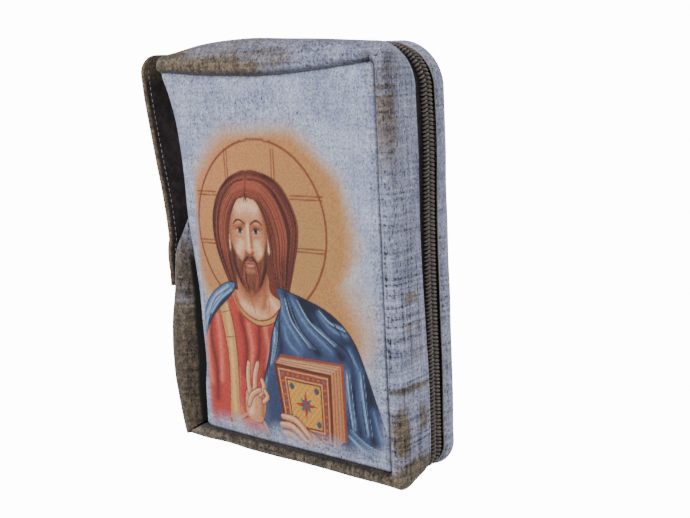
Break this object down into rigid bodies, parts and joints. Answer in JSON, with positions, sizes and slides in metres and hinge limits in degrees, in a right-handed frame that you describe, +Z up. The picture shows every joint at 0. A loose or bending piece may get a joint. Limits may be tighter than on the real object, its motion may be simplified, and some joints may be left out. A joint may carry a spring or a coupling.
{
  "type": "zip-around breviary cover",
  "caption": "Soft zip-around cover for a prayer book, with a recessed printed front panel, puffed edge rolls, a coil zip and a sewn handle strap on the spine",
  "frame": {"origin": "Centre of the base of the whole object's box, on the surface that the cover stands on", "axes": "+Z up along the height, -Y out of the printed front, +X towards the zip side, -X towards the spine and its strap"},
  "size_m": [0.1541, 0.0427, 0.1959],
  "materials": {
    "printed_suede": "matt printed faux suede, lavender grey with dark specks",
    "stained_suede": "matt printed faux suede, grey with olive-brown stains",
    "zip_tape": "dark woven tape",
    "zip_coil": "satin brown nylon coil",
    "zip_metal": "darkened brass",
    "strap_leather": "dark brown napped leather with a pale top stitch"
  },
  "bodies": {
    "root": {"front_panel": "printed_suede", "front_band": "stained_suede", "back_band": "stained_suede", "back_panel": "printed_suede", "spine": "stained_suede", "zip_tape_front": "zip_tape", "zip_tape_back": "zip_tape", "zip_chain": "zip_coil", "zip_slider": "zip_metal", "handle_strap": "strap_leather"}
  },
  "joints": []
}
